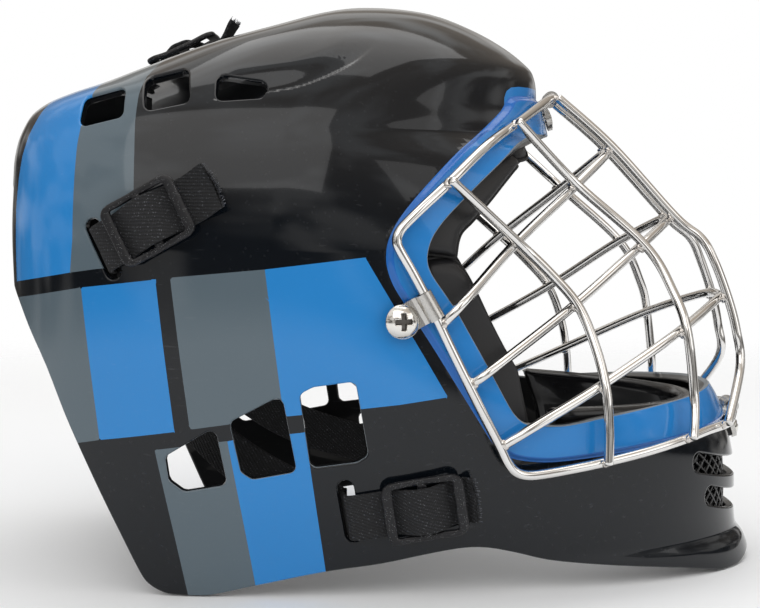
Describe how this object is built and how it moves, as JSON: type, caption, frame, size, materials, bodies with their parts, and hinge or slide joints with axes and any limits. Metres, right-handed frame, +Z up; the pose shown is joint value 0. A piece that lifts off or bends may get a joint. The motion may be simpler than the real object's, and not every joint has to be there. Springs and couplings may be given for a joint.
{
  "type": "goalkeeper face mask",
  "caption": "Protective mask: moulded vented shell, welded wire face cage on screwed clips, foam liners, and a padded nape plate hung on adjustable webbing straps.",
  "frame": {"origin": "middle of the box round the part, at the height of the surface that it stands on", "axes": "+X forward to the cage, +Y to the wearer's left, +Z up"},
  "size_m": [0.3333, 0.2322, 0.2534],
  "materials": {
    "shell_gloss": "gloss",
    "cage_wire": "polished",
    "clip_sheet": "brushed",
    "screw_metal": "polished",
    "washer_rubber": "matte",
    "chin_cup": "gloss",
    "mesh": "matte",
    "plate": "satin",
    "foam": "matte",
    "slider_plastic": "satin",
    "webbing": "woven"
  },
  "bodies": {
    "mask": {"shell": "shell_gloss", "forehead_pad": "foam", "crown_pad": "foam", "temple_pad_left": "foam", "temple_pad_right": "foam", "cheek_pad_left": "foam", "cheek_pad_right": "foam", "chin_cup": "chin_cup", "chin_mesh": "mesh", "top_strap": "webbing", "upper_strap_left": "webbing", "upper_strap_right": "webbing", "lower_strap_left": "webbing", "lower_strap_right": "webbing", "upper_strap_inner_left": "webbing", "upper_strap_inner_right": "webbing", "lower_strap_inner_left": "webbing", "lower_strap_inner_right": "webbing", "cage_frame": "cage_wire", "cage_bar_top": "cage_wire", "cage_bar_middle": "cage_wire", "cage_bar_bottom": "cage_wire", "cage_upright_outer_left": "cage_wire", "cage_upright_outer_right": "cage_wire", "cage_upright_inner_left": "cage_wire", "cage_upright_inner_right": "cage_wire", "cage_upright_centre_left": "cage_wire", "cage_upright_centre_right": "cage_wire", "side_clip_left": "clip_sheet", "side_clip_right": "clip_sheet", "brow_clip": "clip_sheet", "chin_clip": "clip_sheet", "clip_screws": "screw_metal", "clip_washers": "washer_rubber", "clip_nuts": "screw_metal"},
    "back_rest": {"back_plate": "plate", "back_plate_pad": "foam", "top_strap_inner": "webbing"},
    "top_adjuster": {"top_slider": "slider_plastic"},
    "upper_adjuster_left": {"upper_slider_left": "slider_plastic"},
    "upper_adjuster_right": {"upper_slider_right": "slider_plastic"},
    "lower_adjuster_left": {"lower_slider_left": "slider_plastic"},
    "lower_adjuster_right": {"lower_slider_right": "slider_plastic"}
  },
  "joints": [
    {"name": "back_rest_swing", "type": "hinge", "parent": "mask", "child": "back_rest", "pos_m": [-0.11724, 0, 0.21438], "axis": [0, 1, 0], "range_deg": [0, 20], "deforming": ["upper_strap_inner_left", "upper_strap_inner_right", "lower_strap_inner_left", "lower_strap_inner_right"]},
    {"name": "top_adjuster_slide", "type": "slide", "parent": "mask", "child": "top_adjuster", "axis": [0.9343, 0, 0.3566], "range_m": [0, 0.008], "deforming": ["top_strap"]},
    {"name": "upper_adjuster_slide_left", "type": "slide", "parent": "mask", "child": "upper_adjuster_left", "axis": [0.8798, 0.082, 0.4682], "range_m": [0, 0.008], "deforming": ["upper_strap_left"]},
    {"name": "upper_adjuster_slide_right", "type": "slide", "parent": "mask", "child": "upper_adjuster_right", "axis": [0.8798, -0.082, 0.4682], "range_m": [0, 0.008], "deforming": ["upper_strap_right"]},
    {"name": "lower_adjuster_slide_left", "type": "slide", "parent": "mask", "child": "lower_adjuster_left", "axis": [0.9812, -0.1014, 0.164], "range_m": [0, 0.008], "deforming": ["lower_strap_left"]},
    {"name": "lower_adjuster_slide_right", "type": "slide", "parent": "mask", "child": "lower_adjuster_right", "axis": [0.9812, 0.1014, 0.164], "range_m": [0, 0.008], "deforming": ["lower_strap_right"]}
  ]
}
